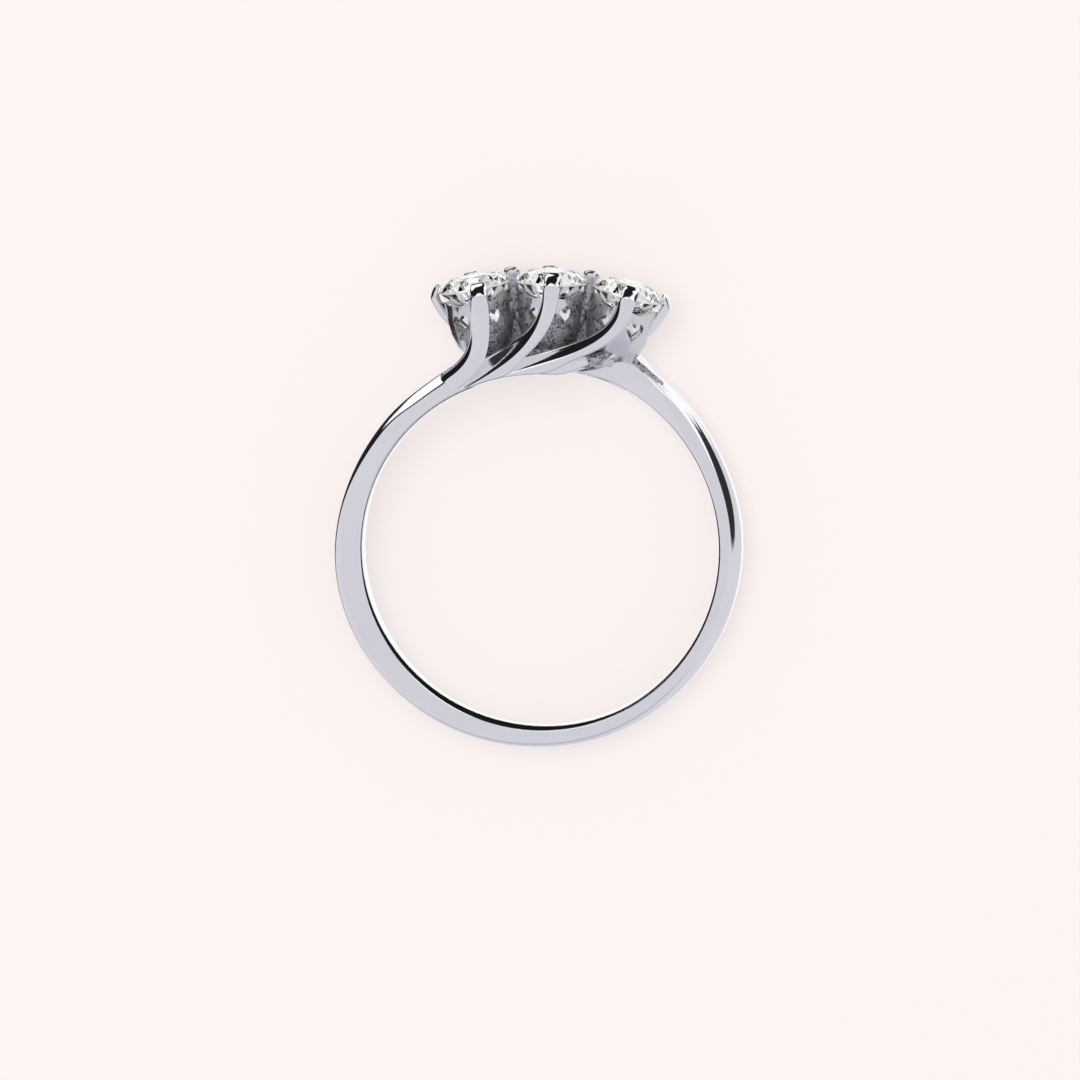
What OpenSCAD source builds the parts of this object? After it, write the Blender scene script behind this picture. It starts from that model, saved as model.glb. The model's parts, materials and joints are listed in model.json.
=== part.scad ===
// Three stone ring with a bypass shank, in millimetres.
// It lies on its side: +Z is up from the floor, +Y points from the finger hole to the
// stones, and the origin is the middle of the finger hole.
// The pieces are drawn upright first: X along the row of stones, Y along the finger,
// Z from the finger hole's middle towards the stones, with the front at -Y.

/* [Finger hole] */
// Inner diameter of the ring
finger_d = 16.9; // [15:0.1:21]

/* [Band] */
// Thickness of the band at its lowest point
base_t = 1.06; // [0.8:0.02:1.4]
// Thickness of the band at the shoulders, where it splits into prongs
shoulder_t = 1.48; // [1.2:0.02:2]
// Width of the band along the finger at its lowest point
base_w = 2.1; // [1.7:0.1:2.8]
// Rise of the rounded edge where the band's sides meet the finger hole
hole_bevel = 0.12; // [0.06:0.01:0.2]
// Width of that rounded edge along the finger
hole_bevel_w = 0.45; // [0.2:0.05:0.5]

/* [Stones] */
// Girdle diameter of each stone
stone_d = 3.4; // [2.9:0.1:4]
// Gap between the girdles of two neighbouring stones
stone_gap = 0.26; // [0.15:0.01:0.4]
// Thickness of each stone's girdle
girdle_t = 0.1; // [0.05:0.01:0.16]
// Lean of the two side stones away from the middle one, in degrees
side_lean = 13; // [6:0.5:18]
// Height of the middle stone's girdle above the finger hole
girdle_rise = 4.35; // [3.8:0.05:5.2]
// Clearance between a stone and its seat
seat_gap = 0.04; // [0.02:0.01:0.08]

/* [Prongs] */
// Width of a prong tip
tip_w = 0.78; // [0.6:0.02:1]
// Depth of a prong tip, measured away from its stone
tip_depth = 0.64; // [0.5:0.02:0.8]
// Thickness of the two end prongs, measured away from their stone
end_prong_t = 0.44; // [0.36:0.02:0.6]
// Width of the two prongs between the stones
mid_prong_w = 0.56; // [0.4:0.02:0.7]
// Height of a prong tip above the girdle
tip_rise = 0.62; // [0.5:0.02:0.8]
// Sideways shift of the front and back prongs from the middle of their stone
tip_shift = 0.2; // [0:0.02:0.3]

/* [Cups] */
// Depth of a cup below its stone's girdle
cup_h = 3.1; // [2.6:0.05:3.4]
// Radius of the cup's foot
cup_foot_r = 0.55; // [0.45:0.01:0.8]
// Wall thickness of a cup
cup_wall = 0.34; // [0.26:0.02:0.44]
// Drop of the cup's wavy rim between two prongs
rim_wave = 0.5; // [0.2:0.05:0.7]
// Width of a heart-shaped window in a cup
heart_w = 0.9; // [0.6:0.05:1]
// Height of a heart-shaped window in a cup
heart_h = 0.98; // [0.7:0.02:1.1]

/* [Hidden] */

finger_r = finger_d / 2;
stone_r = stone_d / 2;
stone_pitch = stone_d + stone_gap;
girdle_z = finger_r + girdle_rise;
// The three stones stand on an arc, each square to its own spoke of a fan.
fan_r = stone_pitch / (2 * sin(side_lean / 2));

// Brilliant cut, as shares of the girdle diameter.
table_share = 0.57;
crown_h = 0.145 * stone_d;
pavilion_h = 0.43 * stone_d;
star_share = 0.55;
lower_half_share = 0.22;

// The shank leans from the band's width to the width of the head.
shoulder_out = stone_r + 0.119 * base_w;
shoulder_in = shoulder_out - base_w / 2;
prong_reach = stone_r + 0.32 * tip_depth;
head_out = prong_reach + tip_depth / 2;
bore_skin = 0.2 * shoulder_t;
band_length = 3 * head_out;
// Near its ends the band rises off the finger hole, over this angle and to this height.
fork_angle = 9;
fork_lift = 0.24 * shoulder_t;

// Sections of the band, by their angle from the top of the ring. Each thickness runs from
// base_t (0) to shoulder_t (1). The two sides are the heights of the flat flanks, as shares
// of the thickness: the outer one faces the front on the left half and the back on the
// right half. The two leans run from the band's edge (0) to the shoulder's edge (1).
//               angle left   right  outer inner  outer inner
//                     thick  thick  side  side   lean  lean
band_sections = [[17, -0.30, -0.30, 0.80, 0.70, 0.86, 1.26],
                 [22,  0.54,  0.54, 0.80, 0.74, 0.99, 1.06],
                 [27,  0.88,  0.90, 0.79, 0.76, 0.98, 0.96],
                 [34,  0.74,  0.95, 0.79, 0.75, 0.92, 0.84],
                 [46,  0.48,  0.61, 0.78, 0.73, 0.78, 0.62],
                 [60,  0.43,  0.36, 0.80, 0.65, 0.58, 0.40],
                 [78,  0.64,  0.33, 0.92, 0.56, 0.30, 0.18],
                 [100, 0.88,  0.14, 0.96, 0.56, 0.08, 0.05],
                 [130, 0.72,  0.01, 0.92, 0.62, 0.00, 0.00],
                 [155, 0.40,  0.00, 0.84, 0.72, 0.00, 0.00],
                 [180, 0.00,  0.00, 0.80, 0.80, 0.00, 0.00]];
band_steps = 84;
dome_steps = 6;

// Prongs that fan out of one shoulder. Angle is where the root leaves the band, from the
// top of the ring; lift is its height above the finger hole as a share of shoulder_t; the
// two reaches are shares of girdle_rise. Face is the width of the flat face and flank that
// of the sloping flank above it, both as shares of tip_w, at the root and along the stem.
// Stone is -1, 0 or 1, and an end prong holds the outer side of its stone.
//               angle lift  reach tip_reach face        flank       stone end
shank_prongs = [[-32, 0.38, 0.52, 0.42, [0.76, 1.04], [0.30, 0.30], -1, false],
                [-28, 0.14, 0.74, 0.52, [0.40, 0.88], [0.96, 0.18], 0, false],
                [-18, 0.20, 0.80, 0.55, [0.30, 0.72], [0.70, 0.16], 1, false],
                [-5, 0.39, 0.82, 0.46, [0.34, 0.54], [0.30, 0.06], 1, true]];
stem_steps = 12;

// Rounding of a prong tip: height and inward bend run from the girdle (0) to the top (1).
//             height bend  size
tip_sections = [[0.10, 0.00, 1.02],
                [0.45, 0.16, 1.04],
                [0.72, 0.45, 0.94],
                [0.90, 0.76, 0.72],
                [1.00, 1.00, 0.40]];
tip_bend = 0.436 * tip_w;
tip_start = -1.2 * girdle_t;
tip_bulge = 0.05 * tip_w;

cup_rim_r = 0.94 * stone_r;
cup_rim_drop = 3 * girdle_t;
cup_sides = 36;
// Half the width of a scallop in the rim, and the overrun of a cutting shape.
scallop_half_w = 0.46 * stone_r;
slack = 0.3 * cup_wall;
heart_steps = 20;

// Small helpers: blend, smooth blend, column lookup through a table, and vector parts.
function mix(a, b, t) = a + (b - a) * t;
function ease(t) = t * t * (3 - 2 * t);
function turn(p, a) = [p.x * cos(a) + p.z * sin(a), p.y, p.z * cos(a) - p.x * sin(a)];
function row_of(table, x, i = 0) =
    i >= len(table) - 2 || x <= table[i + 1][0] ? i : row_of(table, x, i + 1);
function slope(table, i, c) =
    let (a = max(i - 1, 0), b = min(i + 1, len(table) - 1))
    (table[b][c] - table[a][c]) / (table[b][0] - table[a][0]);
// Smooth curve through one column of a table whose first column grows.
function along(table, x, c) =
    let (i = row_of(table, x), w = table[i + 1][0] - table[i][0],
         t = min(max((x - table[i][0]) / w, 0), 1), s = ease(t))
    mix(table[i][c], table[i + 1][c], s)
    + w * t * (1 - t) * ((1 - t) * slope(table, i, c) - t * slope(table, i + 1, c));

function middle_of(ring) = [for (p = ring) 1] * ring / len(ring);

// Skin over a list of rings with the same number of points each. Each end is closed by a
// blunt point, which continues the run by a share of its first or last step.
module skin(rings, point = 0.4) {
    n = len(rings[0]);
    last = len(rings) - 1;
    foot = middle_of(rings[0]);
    head = middle_of(rings[last]);
    foot_point = foot + (foot - middle_of(rings[1])) * point;
    head_point = head + (head - middle_of(rings[last - 1])) * point;
    sides = [for (i = [0 : last - 1], j = [0 : n - 1])
        let (k = (j + 1) % n)
        each [[i * n + j, i * n + k, (i + 1) * n + k],
              [i * n + j, (i + 1) * n + k, (i + 1) * n + j]]];
    ends = [for (j = [0 : n - 1])
        let (k = (j + 1) % n)
        each [[k, j, (last + 1) * n], [last * n + j, last * n + k, (last + 1) * n + 1]]];
    polyhedron(points = concat([for (ring = rings) each ring], [foot_point, head_point]),
               faces = concat(sides, ends), convexity = 8);
}

// Point of the upright ring at an angle from the top, a radius and a place along Y.
function ring_point(angle, r, y) = [r * sin(angle), y, r * cos(angle)];

// Angles are negative on the left half of the band.
function band_t(angle) =
    mix(base_t, shoulder_t, along(band_sections, abs(angle), angle < 0 ? 1 : 2));
function band_side(angle, column) = band_t(angle) * along(band_sections, abs(angle), column);
function band_outer(a) = mix(base_w / 2, shoulder_out, along(band_sections, a, 5));
function band_inner(a) = mix(-base_w / 2, shoulder_in, along(band_sections, a, 6));
function band_lift(a) =
    fork_lift * pow(max(1 - (a - band_sections[0][0]) / fork_angle, 0), 2);

// Section of the band. The left half leans towards the front and the right half, by the
// same amounts, towards the back.
function band_ring(angle) =
    let (a = abs(angle), left = angle < 0,
         front = left ? -band_outer(a) : band_inner(a),
         back = left ? -band_inner(a) : band_outer(a),
         front_side = finger_r + band_side(angle, left ? 3 : 4),
         back_side = finger_r + band_side(angle, left ? 4 : 3),
         middle = (front + back) / 2, half = (back - front) / 2,
         top = finger_r + band_t(angle), hole = finger_r + band_lift(a),
         inset = min(hole_bevel_w + bore_skin, 0.8 * half),
         edge_w = min(hole_bevel_w, 0.5 * half))
    [ring_point(angle, hole - bore_skin, front + inset),
     ring_point(angle, hole + 0.35 * hole_bevel, front + edge_w),
     ring_point(angle, hole + hole_bevel, front),
     for (i = [0 : dome_steps])
         let (w = 180 * i / dome_steps, side = w < 90 ? front_side : back_side)
         ring_point(angle, mix(side, top, pow(sin(w), 0.8)), middle - half * cos(w)),
     ring_point(angle, hole + hole_bevel, back),
     ring_point(angle, hole + 0.35 * hole_bevel, back - edge_w),
     ring_point(angle, hole - bore_skin, back - inset)];

module band() {
    first = band_sections[0][0];
    sweep = 360 - 2 * first;
    skin([for (i = [0 : band_steps])
        let (a = first + sweep * i / band_steps) band_ring(a > 180 ? a - 360 : a)]);
}

// Place in the upright ring of a point given beside a stone: x along the row, y along the
// finger and z above the girdle. Spoke 0 is the middle stone, -1 and 1 the side stones.
function by_stone(p, spoke) =
    turn([p.x, p.y, p.z + fan_r], spoke * side_lean) + [0, 0, girdle_z - fan_r];

module at_stone(spoke) {
    translate([0, 0, girdle_z - fan_r]) rotate([0, spoke * side_lean, 0])
        translate([0, 0, fan_r]) children();
}

// Rounded section of a prong across its run in the X-Z plane. Across is the direction of
// its width, half_x and half_y are its half sizes, and the flank slopes away from the
// front on the far side of across.
function prong_ring(middle, across, half_x, half_y, flank) =
    let (c = 0.3, x = half_x - c * min(half_x, half_y), y = (1 - c) * half_y,
         shape = [[-half_x, -y], [-x, -half_y], [x, -half_y], [half_x, -y],
                  [half_x + 0.7 * flank, -0.1 * half_y], [half_x + flank, 0.55 * half_y],
                  [x + 0.8 * flank, half_y], [-x, half_y], [-half_x, y],
                  [-half_x * (1 + c / 3), 0]])
    [for (s = shape) middle + across * s.x + [0, s.y, 0]];

function bezier(p, t) =
    p[0] * pow(1 - t, 3) + p[1] * 3 * t * pow(1 - t, 2) + p[2] * 3 * t * t * (1 - t)
    + p[3] * pow(t, 3);
function bezier_run(p, t) =
    let (d = (p[1] - p[0]) * pow(1 - t, 2) + (p[2] - p[1]) * 2 * t * (1 - t)
             + (p[3] - p[2]) * t * t)
    d / norm(d);

// A prong's run in the X-Z plane, from its root on the shank to its stone.
function prong_run(row) =
    let (spoke = row[6], is_end = row[7], r = finger_r + row[1] * shoulder_t,
         root = ring_point(row[0], r, 0), head = is_end ? stone_r + end_prong_t / 2 : tip_shift,
         tip = by_stone([head, 0, tip_start], spoke),
         lean = spoke * side_lean + (is_end ? side_lean : spoke * side_lean / 3),
         up = [sin(lean), 0, cos(lean)])
    [root, root + ring_point(row[0] + 90, row[2] * girdle_rise, 0),
     tip - up * (row[3] * girdle_rise), tip];

function stem_middle_y(row, t) =
    let (root_y = (shoulder_out + shoulder_in) / 2, tip_y = row[7] ? 0 : prong_reach)
    -mix(root_y, tip_y, ease(t));
// A root starts narrower than the band, inside it, and reaches its full depth soon after.
function stem_half_y(row, t) =
    let (root_y = (shoulder_out - shoulder_in) / 2 * mix(0.8, 1, ease(min(4 * t, 1))),
         tip_y = (row[7] ? tip_w : tip_depth) / 2)
    mix(root_y, tip_y, ease(min(1.3 * t, 1)));
function stem_half_x(row, t) = mix(row[4][0], row[4][1], ease(t)) * tip_w / 2;
function stem_flank(row, t) = mix(row[5][0], row[5][1], ease(t)) * tip_w;
function tip_half_x(row) = (row[7] ? end_prong_t : tip_w) / 2;

// Rings of one prong: the stem, then the tip bent over the girdle.
function prong_rings(row) =
    let (run = prong_run(row), spoke = row[6], is_end = row[7])
    concat(
        [for (i = [0 : stem_steps - 1])
            let (t = i / stem_steps, p = bezier(run, t), d = bezier_run(run, t))
            prong_ring([p.x, stem_middle_y(row, t), p.z], [-d.z, 0, d.x],
                       stem_half_x(row, t), stem_half_y(row, t), stem_flank(row, t))],
        [for (s = tip_sections)
            let (bend = s[1] * tip_bend, across = turn([-1, 0, 0], spoke * side_lean),
                 x = is_end ? stone_r + end_prong_t / 2 - bend : tip_shift,
                 y = is_end ? 0 : -(prong_reach - bend))
            prong_ring(by_stone([x, y, s[0] * tip_rise], spoke), across,
                       s[2] * tip_half_x(row), s[2] * stem_half_y(row, 1), tip_bulge)]);

// The four prongs of one shoulder.
module shoulder_prongs() {
    for (row = shank_prongs) skin(prong_rings(row));
}

// A prong between two stones rises from the middle cup's foot and holds both.
module mid_prong(side) {
    rise = 1.12 * tip_rise;
    neck = by_stone([0, 0, 1.6 * tip_start], side / 2);
    foot = [side * (cup_foot_r + mid_prong_w / 3), 0, girdle_z - 0.96 * cup_h];
    bow = [side * 0.42 * mid_prong_w, 0, 0];
    across = turn([-1, 0, 0], side * side_lean / 2);
    skin(concat(
        [for (t = [0, 0.25, 0.5, 0.75, 1])
            prong_ring(mix(foot, neck, t) + bow * sin(180 * t), across,
                       mid_prong_w / 2 * mix(0.8, 1, t), 0.46 * tip_w, tip_bulge)],
        [for (s = tip_sections)
            prong_ring(by_stone([0, 0, s[0] * rise], side / 2), across,
                       s[2] * tip_w / 2, s[2] * tip_w / 2, tip_bulge)]));
}

// Heart with its cleft up, width and height as given, its middle at the origin.
module heart() {
    polygon([for (i = [0 : heart_steps - 1])
        let (a = 360 * (i + 0.5) / heart_steps,
             y = 13 * cos(a) - 5 * cos(2 * a) - 2 * cos(3 * a) - cos(4 * a))
        [heart_w / 2 * pow(sin(a), 3), heart_h * (y + 2.5) / 29]]);
}

// Pierced conical cup under a stone. Four scallops cut its rim between the prongs, and a
// heart-shaped window is cut through the wall under each scallop.
module cup() {
    slant = (cup_rim_r - cup_foot_r) / (cup_h - cup_rim_drop);
    lean = atan(slant);
    wall = cup_wall / cos(lean);
    height = cup_h - cup_rim_drop;
    scallop_r = (pow(scallop_half_w, 2) + pow(rim_wave, 2)) / (2 * rim_wave);
    heart_z = -cup_rim_drop - rim_wave - 0.72 * heart_h;
    heart_r = cup_rim_r + (heart_z + cup_rim_drop) * slant;
    difference() {
        translate([0, 0, -cup_h])
            cylinder(h = height, r1 = cup_foot_r, r2 = cup_rim_r, $fn = cup_sides);
        translate([0, 0, -cup_h - slack])
            cylinder(h = height + 2 * slack, r1 = cup_foot_r - wall - slack * slant,
                     r2 = cup_rim_r - wall + slack * slant, $fn = cup_sides);
        for (a = [45 : 90 : 315]) rotate([0, 0, a]) {
            translate([0, 0, scallop_r - cup_rim_drop - rim_wave]) rotate([0, 90, 0])
                cylinder(h = 2 * stone_r, r = scallop_r, $fn = 26);
            translate([heart_r, 0, heart_z]) rotate([90, 0, 90]) rotate([lean, 0, 0])
                linear_extrude(height = 2.4 * wall, center = true) heart();
        }
    }
}

// Space that a stone takes up with its clearance.
module seat() {
    r = stone_r + seat_gap;
    half = girdle_t / 2 + seat_gap;
    crown_r = table_share * stone_r + seat_gap;
    rotate_extrude($fn = 36)
        polygon([[0, -half - pavilion_h], [seat_gap, -half - pavilion_h], [r, -half], [r, half],
                 [crown_r, half + crown_h], [0, half + crown_h]]);
}

// Everything of the casting but the finger hole: one shoulder's prongs, the same again
// turned by half a circle, the middle prongs, the cups and the band.
module casting() {
    difference() {
        union() {
            band();
            shoulder_prongs();
            rotate([0, 0, 180]) shoulder_prongs();
            mid_prong(-1);
            mid_prong(1);
            for (spoke = [-1 : 1]) at_stone(spoke) cup();
        }
        for (spoke = [-1 : 1]) at_stone(spoke) seat();
    }
}

// Lying on its side, the ring touches the floor with the band's back edge and with the
// outer faces of the back prongs. The lean is the steepest line from the one to the other.
rest_edge = finger_r + band_side(180, 3);
rest_lean = max([for (row = shank_prongs, ring = prong_rings(row), p = ring)
    atan((-p.y - base_w / 2) / (p.z + rest_edge))]);

module on_its_side() {
    rotate([rest_lean - 90, 0, 0]) children();
}

// Brilliant-cut stone: table, crown of stars, kites and halves, girdle and pavilion.
module brilliant() {
    half = girdle_t / 2;
    table_r = table_share * stone_r / cos(22.5);
    star_r = mix(table_share * stone_r, stone_r, star_share);
    low_r = lower_half_share * stone_r;
    function at(r, a, z) = [r * cos(a), r * sin(a), z];
    // Heights in the plane of a kite above and of a main facet below the girdle.
    function kite_z(reach) =
        half + crown_h * (stone_r - reach) / (stone_r - table_r);
    function main_z(reach) = -half - pavilion_h * (stone_r - reach) / stone_r;
    points = concat(
        [for (k = [0 : 7]) at(table_r, 45 * k, half + crown_h)],
        [for (k = [0 : 7]) at(star_r, 45 * k + 22.5, kite_z(star_r * cos(22.5)))],
        [for (k = [0 : 15]) at(stone_r, 22.5 * k, half)],
        [for (k = [0 : 15]) at(stone_r, 22.5 * k, -half)],
        [for (k = [0 : 7]) at(low_r, 45 * k + 22.5, main_z(low_r * cos(22.5)))],
        [at(0, 0, -half - pavilion_h)]);
    faces = concat(
        [[for (k = [7 : -1 : 0]) k]],
        [for (k = [0 : 7]) let (n = (k + 1) % 8, g = 16 + 2 * k)
            each [[k, n, 8 + k],
                  [8 + k, 16 + (2 * k + 1) % 16, g],
                  [8 + k, 16 + (2 * k + 2) % 16, 16 + (2 * k + 1) % 16]]],
        [for (k = [0 : 7]) let (p = (k + 7) % 8) [k, 8 + k, 16 + 2 * k, 8 + p]],
        [for (k = [0 : 15]) let (n = (k + 1) % 16) [16 + k, 16 + n, 32 + n, 32 + k]],
        [for (k = [0 : 7])
            each [[32 + 2 * k, 32 + 2 * k + 1, 48 + k],
                  [32 + 2 * k + 1, 32 + (2 * k + 2) % 16, 48 + k]]],
        [for (k = [0 : 7]) let (p = (k + 7) % 8) [32 + 2 * k, 48 + k, 56, 48 + p]]);
    polyhedron(points = points, faces = faces, convexity = 2);
}

// The soldered metal of the ring, with the round finger hole cut through it.
module ring_mount() {
    color("gainsboro") on_its_side() difference() {
        resize([0, 0, 0]) casting();
        rotate([90, 0, 0]) cylinder(h = band_length, r = finger_r, center = true, $fn = 180);
    }
}

module stone(spoke) {
    color("aliceblue") on_its_side() at_stone(spoke) brilliant();
}

module stone_left() stone(-1);
module stone_middle() stone(0);
module stone_right() stone(1);

ring_mount();
stone_left();
stone_middle();
stone_right();
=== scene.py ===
"""Three stone ring: polished claws and band, cast cups and clear stones, on a pale floor."""

import json
import logging
import math
from dataclasses import dataclass
from enum import Enum

import bmesh
import bpy
from mathutils import Matrix, Vector

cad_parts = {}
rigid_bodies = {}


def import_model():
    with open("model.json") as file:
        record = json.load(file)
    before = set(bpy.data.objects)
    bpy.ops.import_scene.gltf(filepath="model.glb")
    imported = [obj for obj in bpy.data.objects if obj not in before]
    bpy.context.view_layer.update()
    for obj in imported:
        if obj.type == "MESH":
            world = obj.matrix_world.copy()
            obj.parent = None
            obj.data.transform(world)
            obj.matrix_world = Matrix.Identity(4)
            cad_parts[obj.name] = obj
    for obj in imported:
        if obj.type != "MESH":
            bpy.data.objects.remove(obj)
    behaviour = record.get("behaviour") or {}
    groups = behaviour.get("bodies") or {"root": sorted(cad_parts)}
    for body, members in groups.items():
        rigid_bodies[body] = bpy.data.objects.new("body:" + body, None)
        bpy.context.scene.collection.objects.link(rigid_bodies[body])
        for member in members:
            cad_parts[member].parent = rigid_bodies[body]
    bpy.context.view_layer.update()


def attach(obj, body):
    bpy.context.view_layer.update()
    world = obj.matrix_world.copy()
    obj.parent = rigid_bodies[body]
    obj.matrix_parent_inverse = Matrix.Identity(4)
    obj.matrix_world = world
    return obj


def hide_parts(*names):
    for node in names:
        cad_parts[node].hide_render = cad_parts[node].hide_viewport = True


LOG = logging.getLogger("ring")

MM = 0.001

Point = tuple[float, float]
Place = tuple[float, float, float]
Ring = list[Place]
Value = float | Place | Vector | bpy.types.NodeSocket


class Side(Enum):
    """Half of the band, which runs to the front or to the back of the head."""

    LEFT = -1
    RIGHT = 1


def mix(a: float, b: float, t: float) -> float:
    """Return the blend of a and b at share t."""
    return a + (b - a) * t


def ease(t: float) -> float:
    """Return a smooth step of t, held between 0 and 1."""
    t = min(max(t, 0.0), 1.0)
    return t * t * (3 - 2 * t)


def along(table: list[tuple], x: float, column: int) -> float:
    """Read one column of a table as a smooth curve.

    Args:
        table: Rows whose first value grows.
        x: The place on the first column.
        column: The column to read.

    Returns:
        The value of the column at x.
    """
    last = len(table) - 2
    i = next((k for k in range(last) if x <= table[k + 1][0]), last)

    def slope(k: int) -> float:
        """Return the slope of the column at row k."""
        a, b = max(k - 1, 0), min(k + 1, len(table) - 1)
        return (table[b][column] - table[a][column]) / (table[b][0] - table[a][0])

    width = table[i + 1][0] - table[i][0]
    t = min(max((x - table[i][0]) / width, 0.0), 1.0)
    bend = width * t * (1 - t) * ((1 - t) * slope(i) - t * slope(i + 1))
    return mix(table[i][column], table[i + 1][column], ease(t)) + bend


def turn(p: Place, angle: float) -> Place:
    """Turn a place about the Y axis, from the upright towards +X.

    Args:
        p: The place.
        angle: The angle in degrees.

    Returns:
        The turned place.
    """
    a = math.radians(angle)
    return (
        p[0] * math.cos(a) + p[2] * math.sin(a),
        p[1],
        p[2] * math.cos(a) - p[0] * math.sin(a),
    )


@dataclass
class RingSizes:
    """Sizes of the ring in millimetres, in the upright frame of its drawing.

    X runs along the row of stones, Y along the finger to the back, and Z to the stones.
    shoulder_proud is a share of the band's width and claw_proud one of a tip's depth.
    """

    finger_r: float = 8.45
    base_t: float = 1.06
    shoulder_t: float = 1.48
    base_w: float = 2.1
    hole_bevel: float = 0.12
    hole_bevel_w: float = 0.45
    stone_r: float = 1.7
    stone_gap: float = 0.26
    side_lean: float = 13.0
    girdle_rise: float = 4.35
    girdle_t: float = 0.1
    tip_w: float = 0.78
    tip_depth: float = 0.64
    end_claw_t: float = 0.44
    mid_claw_w: float = 0.56
    tip_rise: float = 0.62
    tip_shift: float = 0.2
    tip_start: float = -0.12
    shoulder_proud: float = 0.119
    claw_proud: float = 0.32
    cup_h: float = 3.1
    cup_foot_r: float = 0.55
    cup_wall: float = 0.34
    heart_w: float = 0.9
    heart_h: float = 0.98
    rest_lean: float = 3.198

    @property
    def girdle_z(self) -> float:
        """Height of the middle stone's girdle."""
        return self.finger_r + self.girdle_rise

    @property
    def fan_r(self) -> float:
        """Radius of the fan on which the stones stand."""
        pitch = 2 * self.stone_r + self.stone_gap
        return pitch / (2 * math.sin(math.radians(self.side_lean / 2)))

    @property
    def shoulder_out(self) -> float:
        """Outer edge of the shoulder along the finger."""
        return self.stone_r + self.shoulder_proud * self.base_w

    @property
    def shoulder_in(self) -> float:
        """Inner edge of the shoulder along the finger."""
        return self.shoulder_out - self.base_w / 2

    @property
    def claw_reach(self) -> float:
        """Distance of a front claw's middle from the row of stones."""
        return self.stone_r + self.claw_proud * self.tip_depth

    def by_stone(self, p: Place, spoke: float) -> Place:
        """Return the upright place of a point given beside a stone of the fan.

        Args:
            p: The place, with the stone's girdle at its origin and the stone's axis up.
            spoke: The stone, -1, 0 or 1 from left to right, or a half for between two.

        Returns:
            The place in the ring's upright frame.
        """
        x, y, z = turn((p[0], p[1], p[2] + self.fan_r), spoke * self.side_lean)
        return (x, y, z + self.girdle_z - self.fan_r)

    def to_part(self) -> Matrix:
        """Return the matrix from the upright millimetres to the part's metres."""
        lay = Matrix.Rotation(math.radians(self.rest_lean - 90), 4, "X")
        return lay @ Matrix.Scale(MM, 4)


# A claw that leaves the band lower than this share of its thickness hugs the finger hole.
HUGGING_LIFT = 0.3


@dataclass(frozen=True)
class Claw:
    """A claw that fans out of the shoulder.

    It leaves the band at an angle from the top and at a lift over the finger hole. Reach and
    tip_reach say how far it keeps its first and its last direction. Face and flank are widths
    at its root and at its tip, as shares of a tip's. Shift and drop move its tip to the right
    and down, in millimetres.
    """

    name: str
    angle: float
    lift: float
    reach: float
    tip_reach: float
    face: Point
    flank: Point
    spoke: int
    is_end: bool
    shift: float = 0.0
    drop: float = 0.0

    @property
    def hugs(self) -> bool:
        """Whether the claw's inner side follows the finger hole near its root."""
        return self.lift < HUGGING_LIFT


CLAWS = (
    Claw("first", -32, 0.38, 0.58, 0.42, (0.90, 1.10), (0.50, 0.06), -1, False, 0.14, 0.3),
    Claw("second", -28, 0.06, 0.74, 0.52, (0.30, 0.88), (1.10, 0.10), 0, False),
    Claw("third", -18, 0.10, 0.80, 0.55, (0.24, 0.74), (0.72, 0.34), 1, False),
    Claw("end", -5, 0.28, 0.82, 0.46, (0.34, 0.50), (0.20, 0.06), 1, True, 0.0, 0.13),
)

# Angle from the top, left and right thickness, outer and inner side, outer and inner lean.
BAND = [
    (8, -2.17, -2.17, 0.80, 0.74, 0.30, 1.00),
    (13, -1.33, -1.20, 0.80, 0.74, 0.35, 1.00),
    (17, -0.80, 0.10, 0.78, 0.74, 0.36, 1.00),
    (20, 0.30, 1.64, 0.74, 0.72, 0.46, 1.01),
    (23, 0.95, 2.07, 0.71, 0.70, 0.72, 1.01),
    (25.5, 0.98, 1.72, 0.71, 0.71, 0.93, 0.99),
    (28.5, 0.76, 1.24, 0.72, 0.72, 0.97, 0.94),
    (32, 0.58, 0.86, 0.74, 0.73, 0.94, 0.88),
    (37, 0.46, 0.70, 0.77, 0.74, 0.88, 0.77),
    (46, 0.48, 0.61, 0.78, 0.68, 0.78, 0.62),
    (60, 0.43, 0.36, 0.80, 0.60, 0.58, 0.40),
    (78, 0.64, 0.33, 0.92, 0.56, 0.30, 0.18),
    (100, 0.88, 0.14, 0.96, 0.56, 0.08, 0.05),
    (130, 0.72, 0.01, 0.92, 0.62, 0.00, 0.00),
    (155, 0.40, 0.00, 0.84, 0.72, 0.00, 0.00),
    (180, 0.00, 0.00, 0.80, 0.80, 0.00, 0.00),
]
LEFT_T, RIGHT_T, OUTER_SIDE, INNER_SIDE, OUTER_LEAN, INNER_LEAN = range(1, 7)

# Angles of the band's rings, from the fork under the stones down to the lowest point.
BAND_STOPS = (
    8, 11, 14, 17, 19, 21, 23, 25, 28, 32, 37, 43,
    50, 58, 67, 77, 88, 100, 113, 127, 141, 154, 167,
)

# A claw's inner side reaches the finger hole while its middle is this near, in millimetres.
HUG = (0.40, 0.95)

# Depth by which the claws' undersides lie off the finger hole, inside the band's own surface.
SUNK = 0.045

# A claw's tip from the girdle up: height, inward shift, depth and width, as shares.
TIP = (
    (-0.10, 0.00, 1.00, 1.00),
    (0.04, 0.01, 1.02, 1.03),
    (0.10, 0.04, 1.03, 1.06),
    (0.22, 0.10, 1.02, 1.08),
    (0.38, 0.20, 1.00, 1.09),
    (0.55, 0.32, 0.96, 1.08),
    (0.71, 0.43, 0.86, 1.02),
    (0.84, 0.53, 0.66, 0.92),
    (0.93, 0.61, 0.38, 0.76),
    (0.98, 0.63, 0.16, 0.52),
)

# Share of a tip's height over which its section turns round, from the tip's first row.
TIP_TURN = 0.28

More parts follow.
